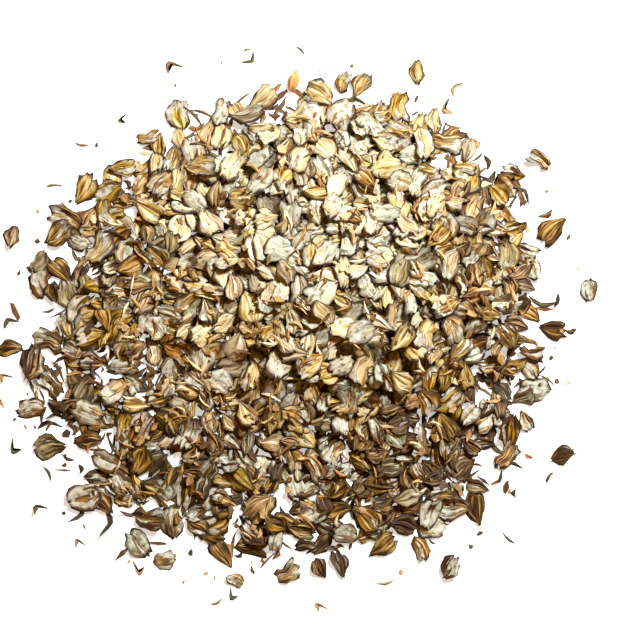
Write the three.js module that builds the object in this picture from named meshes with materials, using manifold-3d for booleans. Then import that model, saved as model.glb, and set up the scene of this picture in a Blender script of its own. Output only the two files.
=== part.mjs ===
// A loose, low heap of rolled barley flakes, hulls and all, as it lies poured out on a table,
// with the stray flakes, the whole kernel and the slivers of husk that lie clear of it.
// Millimetres, +Z up. The table is z = 0 and the origin is under the middle of the spread.

import * as THREE from "three";
import { mergeVertices } from "three/addons/utils/BufferGeometryUtils.js";
import Module from "manifold-3d";

// The heap, about its own middle
const heapRadius = 96; // where the flakes close up, on average
const heapWaves = [
  { turns: 1, share: 0.045, at: 220 },
  { turns: 2, share: 0.05, at: 8 },
  { turns: 3, share: 0.02, at: 86 },
  { turns: 4, share: 0.025, at: 35 },
]; // its uneven outline: waves round it, each as a share of the radius, highest at so many degrees
const thinDepth = 2.3; // two flakes or so, where the heap is thin
const crestDepth = 13; // what the thick part adds to that
const crest = { x: 14, y: 20 }; // the highest place
const crestReach = 84; // from there to where the thick part has run out
const fringe = { from: 0.8, to: 1.16 }; // the loose edge, as shares of the outline's radius
const bedCover = 5; // the flakes lie this deep over the plain inside of the heap

// One flake
const flakeLength = { least: 7, most: 12.4 };
const flakeBreadth = { least: 0.62, most: 0.88 }; // as a share of its length
const flakeThickness = { least: 1.0, most: 1.5 };
const flakeCup = { least: -0.2, most: 0.9 }; // how far its rim stands up from its middle
const rimShare = 0.45; // the rim's thickness, as a share of the middle's
const steepest = 0.62; // the slope at which a flake slides off

// Laying the flakes
const seed = 20214;
const cell = 0.75; // of the height map
const mapHalf = 126; // it reaches so far to each side
const drops = 5200; // places tried
const fullStep = 1.5; // a place this much too low is always taken
const clearRound = 0.7; // bare table kept round each stray and sliver

// Bare table that shows through, in the thin part alone
const bareSpots = { tries: 46, least: 0.4, most: 2.4, reach: 92, deepest: 4.6 };

// The solid: the core runs through the lower half of the topmost flakes
const coreStep = 7.4; // between its points
const coreSink = 0.95; // below the height map's mean
const coreBlur = 3.2; // the half width of that mean
const fusedFlakes = 288;
const leastShowing = 0.55; // the share of a fused flake that no other covers
const closest = 0.62; // between fused flakes' middles, as a share of their length
const flakeSides = 7;
const flakeEdge = { least: 0.86, most: 1.06 }; // its corners' reach, as shares of the oval
const baseSink = 3; // what is cut away under the table, so that the base is flat

// Stray flakes that stand out: middle, length, breadth and heading in degrees
const strayFlakes = [
  { x: -115, y: 35.5, length: 8, breadth: 6.4, heading: 70 },
  { x: -54, y: -94, length: 8.4, breadth: 6.6, heading: 10 },
  { x: -5, y: -99, length: 8.8, breadth: 8, heading: 35 },
  { x: 8, y: -97.5, length: 7.6, breadth: 6, heading: 120 },
  { x: -26, y: -102, length: 6.6, breadth: 5, heading: 155 },
  { x: 60, y: -97, length: 8.6, breadth: 6.8, heading: 60 },
  { x: 105, y: -52, length: 9, breadth: 7, heading: 20 },
  { x: 115.5, y: 14, length: 7.8, breadth: 6.2, heading: 100 },
  { x: 96, y: 66, length: 8.2, breadth: 6, heading: 145 },
  { x: 47, y: 101, length: 8.6, breadth: 6.4, heading: 85 },
];
const strayThickness = 1.3;
const strayCup = 0.4;

// One whole kernel, still in its hull, that no roller flattened
const kernel = { x: -2.5, y: 97.5, length: 9, breadth: 4.4, heading: 75 };
const kernelThickness = 3;
const kernelFoot = 0.55; // the flat it lies on, as a share of its girth
const kernelSides = 10;

// Slivers of husk in a ring round the heap, thickest to the left
const sliverCount = 24;
const sliverLength = { least: 3.2, most: 7 };
const sliverBreadth = { least: 0.9, most: 1.5 };
const sliverThickness = 0.7;
const sliverSides = 6;
const sliverRing = { least: 1.13, most: 1.25 }; // as shares of the outline's radius
const sliverSide = 165; // where they lie thickest, in degrees
const sliverEvenness = 0.35; // the share of them that is left on the far side

const huskColour = 0xab8a58;
const kernelColour = 0x8a6032;
const sliverColour = 0x6e5231;
const dryHusk = { roughness: 0.75, metalness: 0 };

const wasm = await Module();
wasm.setup();

// A chain of whole-number products: the same random numbers in any language.
function seededRandom(start) {
  let state = start;
  return () => {
    state = (state * 16807) % 2147483647;
    return state / 2147483647;
  };
}

const between = (range, share) => range.least + (range.most - range.least) * share;
const radians = THREE.MathUtils.degToRad;

function outlineRadius(angle) {
  let radius = heapRadius;
  for (const wave of heapWaves) {
    radius += heapRadius * wave.share * Math.cos(wave.turns * (angle - radians(wave.at)));
  }
  return radius;
}

// How deep the heap is wanted at a place.
function wantedDepth(x, y) {
  const out = Math.hypot(x, y) / outlineRadius(Math.atan2(y, x));
  const edge = THREE.MathUtils.clamp((fringe.to - out) / (fringe.to - fringe.from), 0, 1);
  const away = Math.hypot(x - crest.x, y - crest.y) / crestReach;
  const swell = Math.max(0, 1 - away * away);
  return thinDepth * edge * edge + crestDepth * swell * swell * Math.min(1, 2 * edge);
}

// The height of what lies at each cell, and which flake is on top there.
class HeightMap {
  constructor() {
    this.size = Math.round((2 * mapHalf) / cell);
    this.height = new Float64Array(this.size * this.size);
    this.top = new Int32Array(this.size * this.size).fill(-1);
    this.kept = new Uint8Array(this.size * this.size); // cells that stay bare
  }

  // Calls visit(cell's index, x, y) for the cells within reach of a place.
  near(x, y, reach, visit) {
    const least = (v) => Math.max(0, Math.ceil((v - reach + mapHalf) / cell - 0.5));
    const most = (v) => Math.min(this.size - 1, Math.floor((v + reach + mapHalf) / cell - 0.5));
    for (let row = least(y); row <= most(y); row++) {
      for (let column = least(x); column <= most(x); column++) {
        visit(row * this.size + column, (column + 0.5) * cell - mapHalf, (row + 0.5) * cell - mapHalf);
      }
    }
  }

  // The cells under an oval, each with its place from the oval's middle and how far out it is, 0 to 1.
  under(oval) {
    const cos = Math.cos(oval.heading);
    const sin = Math.sin(oval.heading);
    const found = [];
    this.near(oval.x, oval.y, oval.length / 2, (index, x, y) => {
      const dx = x - oval.x;
      const dy = y - oval.y;
      const along = (dx * cos + dy * sin) / (oval.length / 2);
      const across = (dy * cos - dx * sin) / (oval.breadth / 2);
      const out = along * along + across * across;
      if (out < 1) found.push({ index, dx, dy, out });
    });
    return found;
  }

  keepBare(oval) {
    for (const at of this.under(oval)) this.kept[at.index] = 1;
  }

  mean(cells) {
    return cells.reduce((sum, at) => sum + this.height[at.index], 0) / cells.length;
  }
}

// The lowest plane a flake can lie in, as its height at the middle and its slopes:
// a search over the slopes, each step half the last, for where the middle comes lowest.
function restingPlane(map, cells, flake) {
  const lift = (sx, sy) => {
    let most = -Infinity;
    for (const at of cells) {
      const gap = map.height[at.index] - flake.cup * at.out - sx * at.dx - sy * at.dy;
      if (gap > most) most = gap;
    }
    return most;
  };
  let best = { sx: 0, sy: 0, z: lift(0, 0) };
  for (let step = 0.32; step > 0.012; ) {
    let next = best;
    for (let turn = 0; turn < 8; turn++) {
      const sx = best.sx + step * Math.cos((turn * Math.PI) / 4);
      const sy = best.sy + step * Math.sin((turn * Math.PI) / 4);
      if (Math.hypot(sx, sy) > steepest) continue;
      const z = lift(sx, sy);
      if (z < next.z - 1e-6) next = { sx, sy, z };
    }
    if (next === best) step /= 2;
    best = next;
  }
  return best;
}

// Lays a flake on what is there, and raises the height map to its top.
function lay(map, flake, number) {
  const cells = map.under(flake);
  Object.assign(flake, restingPlane(map, cells, flake));
  for (const at of cells) {
    const body = flake.thickness * (1 - (1 - rimShare) * at.out);
    const top = flake.z + flake.sx * at.dx + flake.sy * at.dy + flake.cup * at.out + body;
    if (top > map.height[at.index]) {
      map.height[at.index] = top;
      map.top[at.index] = number;
    }
  }
}

function randomFlake(random) {
  const flake = { heading: random() * Math.PI * 2, length: between(flakeLength, random()) };
  flake.breadth = flake.length * between(flakeBreadth, random());
  flake.thickness = between(flakeThickness, random());
  flake.cup = between(flakeCup, random());
  return flake;
}

// Lays what is clear of the heap, each thing with bare table round it.
function layAround(map, random) {
  const grown = (oval, by) => ({ ...oval, length: oval.length + 2 * by, breadth: oval.breadth + 2 * by });
  const onTable = (oval) => ({ ...oval, heading: radians(oval.heading) });
  const flakes = strayFlakes.map(onTable);
  const kernels = [onTable(kernel)];
  for (const oval of [...flakes, ...kernels]) map.keepBare(grown(oval, clearRound));
  const slivers = [];
  while (slivers.length < sliverCount) {
    const angle = 2 * Math.PI * random();
    const out = outlineRadius(angle) * between(sliverRing, random());
    const sliver = { x: out * Math.cos(angle), y: out * Math.sin(angle) };
    sliver.length = between(sliverLength, random());
    sliver.breadth = between(sliverBreadth, random());
    sliver.heading = Math.PI * random();
    const thickness = Math.cos((angle - radians(sliverSide)) / 2) ** 2;
    if (random() > sliverEvenness + (1 - sliverEvenness) * thickness) continue;
    const room = grown(sliver, 2 * clearRound);
    if (map.under(room).some((at) => map.kept[at.index])) continue;
    map.keepBare(room);
    slivers.push(sliver);
  }
  return { flakes, kernels, slivers };
}

// The whole heap: the strays and bare spots are kept clear, and then flakes drop one by one
// wherever the heap is still too low.
function layHeap() {
  const map = new HeightMap();
  const random = seededRandom(seed);
  const around = layAround(map, random);
  for (let spot = 0; spot < bareSpots.tries; spot++) {
    const x = bareSpots.reach * (2 * random() - 1);
    const y = bareSpots.reach * (2 * random() - 1);
    const across = 2 * between(bareSpots, random());
    const oval = { x, y, length: across * 1.5, breadth: across, heading: random() * Math.PI };
    if (wantedDepth(x, y) < bareSpots.deepest) map.keepBare(oval);
  }
  const reach = heapRadius * 1.3;
  const flakes = [];
  for (let drop = 0; drop < drops; drop++) {
    const x = reach * (2 * random() - 1);
    const y = reach * (2 * random() - 1);
    const flake = { x, y, ...randomFlake(random) };
    const luck = random();
    const wanted = wantedDepth(x, y);
    if (wanted <= 0) continue;
    const cells = map.under(flake);
    if (cells.some((at) => map.kept[at.index])) continue;
    const bed = Math.max(0, wanted - bedCover);
    const missing = wanted - Math.max(map.mean(cells), bed);
    if (luck * fullStep > missing) continue;
    for (const at of cells) map.height[at.index] = Math.max(map.height[at.index], bed);
    lay(map, flake, flakes.length);
    flakes.push(flake);
  }
  return { map, flakes, around };
}

// A merged three.js geometry as a manifold-3d solid.
function solidOf(geometry) {
  const bare = geometry.clone();
  for (const name of Object.keys(bare.attributes)) {
    if (name !== "position") bare.deleteAttribute(name);
  }
  const merged = mergeVertices(bare, 1e-4);
  return new wasm.Manifold(
    new wasm.Mesh({
      numProp: 3,
      vertProperties: merged.attributes.position.array,
      triVerts: new Uint32Array(merged.index.array),
    }),
  );
}

function geometryOf(solid) {
  const mesh = solid.getMesh();
  const geometry = new THREE.BufferGeometry();
  geometry.setAttribute("position", new THREE.BufferAttribute(mesh.vertProperties, 3));
  geometry.setIndex(new THREE.BufferAttribute(mesh.triVerts, 1));
  geometry.computeVertexNormals();
  return geometry;
}

// An oval turned about its upright axis from a profile of [share of the half breadth, height] points,
// as long and broad as it says.
function ovalGeometry(oval, profile, sides) {
  const points = profile.map(([out, height]) => new THREE.Vector2(out, height));
  const geometry = new THREE.LatheGeometry(points, sides).rotateX(Math.PI / 2).rotateZ(-Math.PI / 2);
  return geometry.scale(oval.length / 2, oval.breadth / 2, 1);
}

// A flake as a shallow dish: flat below, a thin rim, and a low crown, with its edge a little uneven.
function flakeGeometry(flake, random) {
  const rim = flake.cup + flake.thickness * rimShare;
  const profile = [[0, 0], [1, flake.cup], [1, rim], [0, flake.thickness]];
  const geometry = ovalGeometry(flake, profile, flakeSides);
  const edge = Array.from({ length: flakeSides }, () => between(flakeEdge, random()));
  const place = geometry.attributes.position;
  for (let i = 0; i < place.count; i++) {
    const angle = Math.atan2(place.getY(i) / flake.breadth, place.getX(i) / flake.length);
    const side = Math.round((angle / (2 * Math.PI)) * flakeSides + flakeSides) % flakeSides;
    place.setXY(i, place.getX(i) * edge[side], place.getY(i) * edge[side]);
  }
  return geometry;
}

// A whole kernel: a long barley corn, full in the middle, with a crease that is left to its finish.
function kernelGeometry(oval) {
  const profile = [[0, 0], [kernelFoot, 0], [1, 0.42], [0.94, 0.66], [0.6, 0.92], [0, 1]];
  return ovalGeometry(oval, profile.map(([out, height]) => [out, height * kernelThickness]), kernelSides);
}

// A sliver of husk: a low ridge, pointed at both ends.
function sliverGeometry(oval) {
  return ovalGeometry(oval, [[0, 0], [1, 0], [0, sliverThickness]], sliverSides);
}

// Turned to its heading, tipped to its slopes and set down on its resting plane.
function placed(geometry, flake) {
  const up = new THREE.Vector3(0, 0, 1);
  const facing = new THREE.Vector3(-flake.sx, -flake.sy, 1).normalize();
  const tip = new THREE.Quaternion().setFromUnitVectors(up, facing);
  const turn = new THREE.Quaternion().setFromAxisAngle(up, flake.heading);
  return geometry.applyQuaternion(tip.multiply(turn)).translate(flake.x, flake.y, flake.z);
}

// The inside of the heap, from below the table up to the lower half of the topmost flakes.
function coreSolid(map) {
  const count = Math.round((2 * mapHalf) / coreStep);
  const grid = new THREE.PlaneGeometry(2 * mapHalf, 2 * mapHalf, count, count);
  const place = grid.attributes.position;
  const across = count + 1;
  for (let i = 0; i < place.count; i++) {
    const shift = Math.floor(i / across) % 2 ? coreStep / 4 : -coreStep / 4;
    const x = place.getX(i) + shift;
    const y = place.getY(i);
    const cells = [];
    map.near(x, y, coreBlur, (index) => cells.push({ index }));
    place.setXYZ(i, x, y, cells.length ? map.mean(cells) - coreSink : -coreSink);
  }
  const top = grid.index.array;
  const indices = [...top];
  const low = new Float32Array(place.count * 3);
  for (let i = 0; i < place.count; i++) low.set([place.getX(i), place.getY(i), -baseSink], 3 * i);
  for (let i = 0; i < top.length; i += 3) {
    indices.push(top[i] + place.count, top[i + 2] + place.count, top[i + 1] + place.count);
  }
  const rim = [];
  for (let i = 0; i < count; i++) rim.push(i);
  for (let i = 0; i < count; i++) rim.push(i * across + count);
  for (let i = count; i > 0; i--) rim.push(count * across + i);
  for (let i = count; i > 0; i--) rim.push(i * across);
  rim.forEach((from, i) => {
    const to = rim[(i + 1) % rim.length];
    indices.push(from, to, to + place.count, from, to + place.count, from + place.count);
  });
  const geometry = new THREE.BufferGeometry();
  const all = new Float32Array([...place.array, ...low]);
  geometry.setAttribute("position", new THREE.BufferAttribute(all, 3));
  geometry.setIndex(indices);
  return solidOf(geometry);
}

// The flakes that show, largest first and spread out.
function showingFlakes(map, flakes) {
  const seen = new Array(flakes.length).fill(0);
  for (const number of map.top) if (number >= 0) seen[number] += 1;
  const cellArea = cell * cell;
  const area = (flake) => (Math.PI / 4) * flake.length * flake.breadth;
  const shows = flakes.filter((flake, i) => seen[i] * cellArea > leastShowing * area(flake));
  shows.sort((a, b) => area(b) - area(a));
  const chosen = [];
  for (const flake of shows) {
    const crowded = chosen.some(
      (other) =>
        Math.hypot(other.x - flake.x, other.y - flake.y) < (closest * (other.length + flake.length)) / 2,
    );
    if (!crowded) chosen.push(flake);
    if (chosen.length === fusedFlakes) break;
  }
  return chosen;
}

function heapSolid({ map, flakes }, random) {
  const chosen = showingFlakes(map, flakes);
  const pieces = chosen.map((flake) => solidOf(placed(flakeGeometry(flake, random), flake)));
  const fused = wasm.Manifold.union([coreSolid(map), ...pieces]).trimByPlane([0, 0, 1], 0);
  const bodies = fused.decompose().sort((a, b) => b.volume() - a.volume());
  return bodies[0];
}

const spread = new THREE.Group();

function add(name, geometry, colour) {
  const material = new THREE.MeshStandardMaterial({ color: colour, ...dryHusk, flatShading: true });
  const mesh = new THREE.Mesh(geometry, material);
  mesh.name = name;
  spread.add(mesh);
  return mesh;
}

// A mesh of something that lies on the table clear of the heap.
function addAround(name, geometry, oval, colour) {
  const mesh = add(name, geometry, colour);
  mesh.position.set(oval.x, oval.y, 0);
  mesh.rotation.z = oval.heading;
}

const laid = layHeap();
const random = seededRandom(seed + 1);

add("flake_heap", geometryOf(heapSolid(laid, random)), huskColour);

laid.around.flakes.forEach((oval, i) => {
  const flake = { ...oval, thickness: strayThickness, cup: strayCup };
  addAround(`stray_flake_${i + 1}`, flakeGeometry(flake, random), oval, huskColour);
});
laid.around.kernels.forEach((oval) => {
  addAround("stray_kernel", kernelGeometry(oval), oval, kernelColour);
});
laid.around.slivers.forEach((oval, i) => {
  addAround(`husk_sliver_${i + 1}`, sliverGeometry(oval), oval, sliverColour);
});

// The whole spread is moved so that the origin is under the middle of its box.
const part = new THREE.Group();
part.add(spread);
const middle = new THREE.Box3().setFromObject(spread, true).getCenter(new THREE.Vector3());
spread.position.set(-middle.x, -middle.y, 0);

export default part;
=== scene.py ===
# A loose, low heap of rolled barley flakes, hulls and all, as it lies poured out on a pale table.
# Each flake is laid by the rule that the solid heap was laid by, so both have the same form.
import math

import bmesh
import bpy
import numpy as np
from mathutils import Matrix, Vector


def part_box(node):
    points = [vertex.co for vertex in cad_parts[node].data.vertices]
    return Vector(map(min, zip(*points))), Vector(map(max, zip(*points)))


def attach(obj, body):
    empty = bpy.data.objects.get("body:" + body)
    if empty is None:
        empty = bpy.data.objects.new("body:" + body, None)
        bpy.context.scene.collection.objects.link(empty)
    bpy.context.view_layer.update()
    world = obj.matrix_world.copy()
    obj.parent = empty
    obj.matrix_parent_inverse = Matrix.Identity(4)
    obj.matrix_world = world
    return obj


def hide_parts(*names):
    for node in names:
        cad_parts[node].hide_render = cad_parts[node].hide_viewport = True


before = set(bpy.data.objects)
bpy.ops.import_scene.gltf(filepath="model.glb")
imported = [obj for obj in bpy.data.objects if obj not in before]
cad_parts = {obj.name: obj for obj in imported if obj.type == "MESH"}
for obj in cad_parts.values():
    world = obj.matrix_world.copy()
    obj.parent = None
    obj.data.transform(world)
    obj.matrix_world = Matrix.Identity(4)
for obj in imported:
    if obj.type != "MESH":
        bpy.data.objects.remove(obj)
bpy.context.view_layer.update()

mm = 0.001


def chances(state):  # random numbers, 0 to 1, by the same rule as the solid heap's
    factor, modulus = 16807, 2147483647
    while True:
        state = state * factor % modulus
        yield state / modulus


def between(pair, share):
    return pair[0] + (pair[1] - pair[0]) * share


def hexColour(code):  # an sRGB hex value as linear red, green, blue and alpha
    parts = [int(code[i:i + 2], 16) / 255 for i in (0, 2, 4)]
    return (*[p / 12.92 if p <= 0.04045 else ((p + 0.055) / 1.055) ** 2.4 for p in parts], 1.0)


# Where each thing lies: in millimetres, about the heap's own middle, +Y away and +Z up.

heap = {
    "radius": 96.0,  # where the flakes close up, on average
    "waves": [(1, 0.045, 220), (2, 0.05, 8), (3, 0.02, 86), (4, 0.025, 35)],  # turns, share, highest at
    "thinDepth": 2.3,  # two flakes or so, where the heap is thin
    "crestDepth": 13.0,  # what the thick part adds to that
    "crest": (14.0, 20.0),
    "crestReach": 84.0,
    "fringe": (0.8, 1.16),  # the loose edge, as shares of the outline's radius
    "bedCover": 5.0,  # the flakes lie this deep over the inside of the heap
    "seed": 20214,
    "cell": 0.75,  # of the height map
    "mapHalf": 126.0,  # half its side
    "drops": 5200,  # places tried
    "dropReach": 1.3,  # how far out they lie, as a share of the radius
    "fullStep": 1.5,  # a place this much too low is always taken
    "clearRound": 0.7,  # bare table kept round each stray
}
flakeSize = {
    "length": (7.0, 12.4),
    "breadth": (0.62, 0.88),  # as a share of the length
    "thickness": (1.0, 1.5),
    "cup": (-0.2, 0.9),  # how far the rim stands up from the middle
    "rimShare": 0.45,  # the rim's thickness as a share of the middle's
    "steepest": 0.62,  # the slope at which a flake slides off
    "lowBreadth": 0.75,  # the breadth of those low down
}
settling = {  # how the slope in which a flake comes to rest is found
    "firstStep": 0.32,
    "lastStep": 0.012,
    "ways": 8,  # directions tried at each step
    "leastGain": 1e-6,
}
bareSpots = {
    "tries": 46,
    "across": (0.4, 2.4),
    "stretch": 1.5,  # how much longer than broad
    "reach": 92.0,
    "deepest": 4.6,  # they stay bare only where the heap is thinner than this
}
strayFlakes = {
    "thickness": 1.3,
    "cup": 0.4,
    "places": [  # x, y, length, breadth, heading in degrees
        (-115, 35.5, 8, 6.4, 70),
        (-54, -94, 8.4, 6.6, 10),
        (-5, -99, 8.8, 8, 35),
        (8, -97.5, 7.6, 6, 120),
        (-26, -102, 6.6, 5, 155),
        (60, -97, 8.6, 6.8, 60),
        (105, -52, 9, 7, 20),
        (115.5, 14, 7.8, 6.2, 100),
        (96, 66, 8.2, 6, 145),
        (47, 101, 8.6, 6.4, 85),
    ],
}
kernel = {"x": -2.5, "y": 97.5, "length": 9.0, "breadth": 4.4, "thickness": 3.0, "heading": 75}
sliverRing = {
    "count": 24,
    "length": (3.2, 7.0),
    "breadth": (0.9, 1.5),
    "thickness": 0.7,
    "ring": (1.13, 1.25),  # as shares of the outline's radius
    "side": 165,  # where they lie thickest, in degrees
    "evenness": 0.35,  # the share of the places tried on the far side that is taken
}
heapDust = {
    # on the heap: how many, how long, how broad, and how far out, as a share of the outline's radius
    "shards": (330, (3.5, 9.0), (0.8, 1.9), 0.96),
    "chips": (120, (2.6, 5.0), (1.6, 3.4), 1.0),
    "crumbs": (300, (0.9, 2.6), (0.8, 2.0), 1.2),
    "thickness": 0.5,  # as a share of the breadth
    "thinning": 1.6,  # the chance that a place is taken is this, less how far out it is
    "support": 1.8,  # the least breadth that is laid on the height map
    "seed": 77,
}
tableLitter = {
    # on the table, in the gaps and all round: how many, how long, how broad
    "scraps": (230, (2.4, 7.0), (1.0, 2.4)),
    "hooks": (90, (6.0, 11.0), (0.9, 1.4)),  # bits of awn, which stick out
    "broadest": 0.6,  # as a share of the length
    "thickness": 0.6,
    "cup": 0.2,  # at most
    "tone": 0.35,  # darker than the rest: real dark scraps, and partly painted shade that darkens the gaps
}

mapSize = round(2 * heap["mapHalf"] / heap["cell"])
heights = np.zeros((mapSize, mapSize))
keptBare = np.zeros((mapSize, mapSize), bool)


def outlineRadius(angle):
    shares = [share * math.cos(turns * (angle - math.radians(at))) for turns, share, at in heap["waves"]]
    return heap["radius"] * (1 + sum(shares))


def wantedDepth(x, y):
    out = math.hypot(x, y) / outlineRadius(math.atan2(y, x))
    inner, outer = heap["fringe"]
    edge = min(1.0, max(0.0, (outer - out) / (outer - inner)))
    away = math.hypot(x - heap["crest"][0], y - heap["crest"][1]) / heap["crestReach"]
    swell = max(0.0, 1 - away * away)
    return heap["thinDepth"] * edge * edge + heap["crestDepth"] * swell * swell * min(1.0, 2 * edge)


def cellsUnder(oval):  # rows, columns, places from the oval's middle, and how far out, 0 to 1
    cell, half, reach = heap["cell"], heap["mapHalf"], oval["length"] / 2

    def span(middle):
        first = max(0, math.ceil((middle - reach + half) / cell - 0.5))
        last = min(mapSize - 1, math.floor((middle + reach + half) / cell - 0.5))
        return np.arange(first, last + 1)

    rows, columns = np.meshgrid(span(oval["y"]), span(oval["x"]), indexing="ij")
    dx = (columns + 0.5) * cell - half - oval["x"]
    dy = (rows + 0.5) * cell - half - oval["y"]
    cos, sin = math.cos(oval["heading"]), math.sin(oval["heading"])
    along = (dx * cos + dy * sin) / (oval["length"] / 2)
    across = (dy * cos - dx * sin) / (oval["breadth"] / 2)
    out = along * along + across * across
    inside = out < 1
    return rows[inside], columns[inside], dx[inside], dy[inside], out[inside]


def keepBare(oval):
    rows, columns = cellsUnder(oval)[:2]
    keptBare[rows, columns] = True


def isKeptBare(oval):
    rows, columns = cellsUnder(oval)[:2]
    return keptBare[rows, columns].any()


def grown(oval, by):
    return {**oval, "length": oval["length"] + 2 * by, "breadth": oval["breadth"] + 2 * by}


def restingPlane(oval, under):  # the slopes in which its middle comes lowest, and that height
    rows, columns, dx, dy, out = under
    gaps = heights[rows, columns] - oval["cup"] * out
    best = (0.0, 0.0, gaps.max())
    step = settling["firstStep"]
    while step > settling["lastStep"]:
        found = best
        for way in range(settling["ways"]):
            angle = way * 2 * math.pi / settling["ways"]
            slopeX = best[0] + step * math.cos(angle)
            slopeY = best[1] + step * math.sin(angle)
            if math.hypot(slopeX, slopeY) > flakeSize["steepest"]:
                continue
            lift = (gaps - slopeX * dx - slopeY * dy).max()
            if lift < found[2] - settling["leastGain"]:
                found = (slopeX, slopeY, lift)
        if found is best:
            step /= 2
        best = found
    return best


def layOn(oval, under):  # sets it down on what is there, and raises the height map to its top
    oval["slopeX"], oval["slopeY"], oval["z"] = restingPlane(oval, under)
    rows, columns, dx, dy, out = under
    body = oval["thickness"] * (1 - (1 - flakeSize["rimShare"]) * out)
    top = oval["z"] + oval["slopeX"] * dx + oval["slopeY"] * dy + oval["cup"] * out + body
    heights[rows, columns] = np.maximum(heights[rows, columns], top)


def layAround(draw):  # the strays, the kernel and the slivers that lie clear of the heap
    flat = {"slopeX": 0.0, "slopeY": 0.0, "z": 0.0}
    names = ("x", "y", "length", "breadth", "heading")
    strays = [dict(zip(names, place), **flat) for place in strayFlakes["places"]]
    for oval in strays:
        oval.update(thickness=strayFlakes["thickness"], cup=strayFlakes["cup"])
    whole = {**kernel, **flat, "cup": 0.0}
    for oval in [*strays, whole]:
        oval["heading"] = math.radians(oval["heading"])
        keepBare(grown(oval, heap["clearRound"]))
    slivers = []
    while len(slivers) < sliverRing["count"]:
        angle = 2 * math.pi * draw()
        out = outlineRadius(angle) * between(sliverRing["ring"], draw())
        sliver = {**flat, "x": out * math.cos(angle), "y": out * math.sin(angle)}
        sliver["length"] = between(sliverRing["length"], draw())
        sliver["breadth"] = between(sliverRing["breadth"], draw())
        sliver["heading"] = math.pi * draw()
        sliver.update(thickness=sliverRing["thickness"], cup=0.0)
        density = math.cos((angle - math.radians(sliverRing["side"])) / 2) ** 2
        if draw() > sliverRing["evenness"] + (1 - sliverRing["evenness"]) * density:
            continue
        room = grown(sliver, 2 * heap["clearRound"])
        if not isKeptBare(room):
            keepBare(room)
            slivers.append(sliver)
    return strays, whole, slivers


def layFlakes(draw):
    for _ in range(bareSpots["tries"]):
        x = bareSpots["reach"] * (2 * draw() - 1)
        y = bareSpots["reach"] * (2 * draw() - 1)
        across = 2 * between(bareSpots["across"], draw())
        spot = {"x": x, "y": y, "length": across * bareSpots["stretch"], "breadth": across}
        spot["heading"] = draw() * math.pi
        if wantedDepth(x, y) < bareSpots["deepest"]:
            keepBare(spot)
    reach = heap["radius"] * heap["dropReach"]
    flakes = []
    for _ in range(heap["drops"]):
        flake = {"x": reach * (2 * draw() - 1), "y": reach * (2 * draw() - 1)}
        flake["heading"] = draw() * math.pi * 2
        flake["length"] = between(flakeSize["length"], draw())
        flake["breadth"] = flake["length"] * between(flakeSize["breadth"], draw())
        flake["thickness"] = between(flakeSize["thickness"], draw())
        flake["cup"] = between(flakeSize["cup"], draw())
        luck = draw()
        wanted = wantedDepth(flake["x"], flake["y"])
        if wanted <= 0 or isKeptBare(flake):
            continue
        under = cellsUnder(flake)
        rows, columns = under[:2]
        bed = max(0.0, wanted - heap["bedCover"])
        missing = wanted - max(heights[rows, columns].mean(), bed)
        if luck * heap["fullStep"] > missing:
            continue
        heights[rows, columns] = np.maximum(heights[rows, columns], bed)
        layOn(flake, under)
        flakes.append(flake)
    return flakes


def coverInside(draw):  # flakes low down, wherever no other lies over the inside of the heap
    added = []
    for row, column in np.argwhere(heights == 0):
        x, y = [(index + 0.5) * heap["cell"] - heap["mapHalf"] for index in (column, row)]
        wanted = wantedDepth(x, y)
        if wanted < heap["bedCover"] or heights[row, column] > 0:
            continue
        length = between(flakeSize["length"], draw())
        flake = {"x": x, "y": y, "heading": 2 * math.pi * draw(), "length": length}
        flake.update(breadth=flakeSize["lowBreadth"] * length, thickness=flakeSize["thickness"][0], cup=0.0)
        if isKeptBare(flake):
            continue
        flake.update(slopeX=0.0, slopeY=0.0, z=wanted - heap["bedCover"])
        rows, columns = cellsUnder(flake)[:2]
        top = flake["z"] + flake["thickness"]
        heights[rows, columns] = np.maximum(heights[rows, columns], top)
        added.append(flake)
    return added


def layDust(draw, kind):  # small pieces down on the flakes
    count, lengths, breadths, farthest = heapDust[kind]
    reach = heap["radius"] * farthest
    laid = []
    while len(laid) < count:
        oval = {"x": reach * (2 * draw() - 1), "y": reach * (2 * draw() - 1), "heading": 2 * math.pi * draw()}
        oval["length"] = between(lengths, draw())
        oval["breadth"] = min(oval["length"], between(breadths, draw()))
        oval.update(thickness=heapDust["thickness"] * oval["breadth"], cup=0.0)
        out = math.hypot(oval["x"], oval["y"]) / outlineRadius(math.atan2(oval["y"], oval["x"]))
        if draw() > heapDust["thinning"] - out or out > farthest:
            continue
        support = max(heapDust["support"], oval["breadth"])
        room = {**oval, "length": max(support, oval["length"]), "breadth": support}
        if isKeptBare(room):
            continue
        under = cellsUnder(room)
        oval["slopeX"], oval["slopeY"], oval["z"] = restingPlane(room, under)
        laid.append(oval)
    return laid


def layLitter(draw, kind):  # small pieces on the bare table, fewer where the heap is to be deep
    count, lengths, breadths = tableLitter[kind]
    bare = np.argwhere((heights == 0) & ~keptBare)
    laid = []
    while len(laid) < count:
        row, column = bare[int(draw() * len(bare))]
        x, y = [(index + draw()) * heap["cell"] - heap["mapHalf"] for index in (column, row)]
        oval = {"x": x, "y": y, "heading": 2 * math.pi * draw(), "slopeX": 0.0, "slopeY": 0.0, "z": 0.0}
        oval["length"] = between(lengths, draw())
        oval["breadth"] = min(oval["length"] * tableLitter["broadest"], between(breadths, draw()))
        oval.update(thickness=tableLitter["thickness"], tone=tableLitter["tone"])
        oval["cup"] = tableLitter["cup"] * draw()
        if draw() * heap["thinDepth"] < wantedDepth(x, y):
            laid.append(oval)
    return laid


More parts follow.
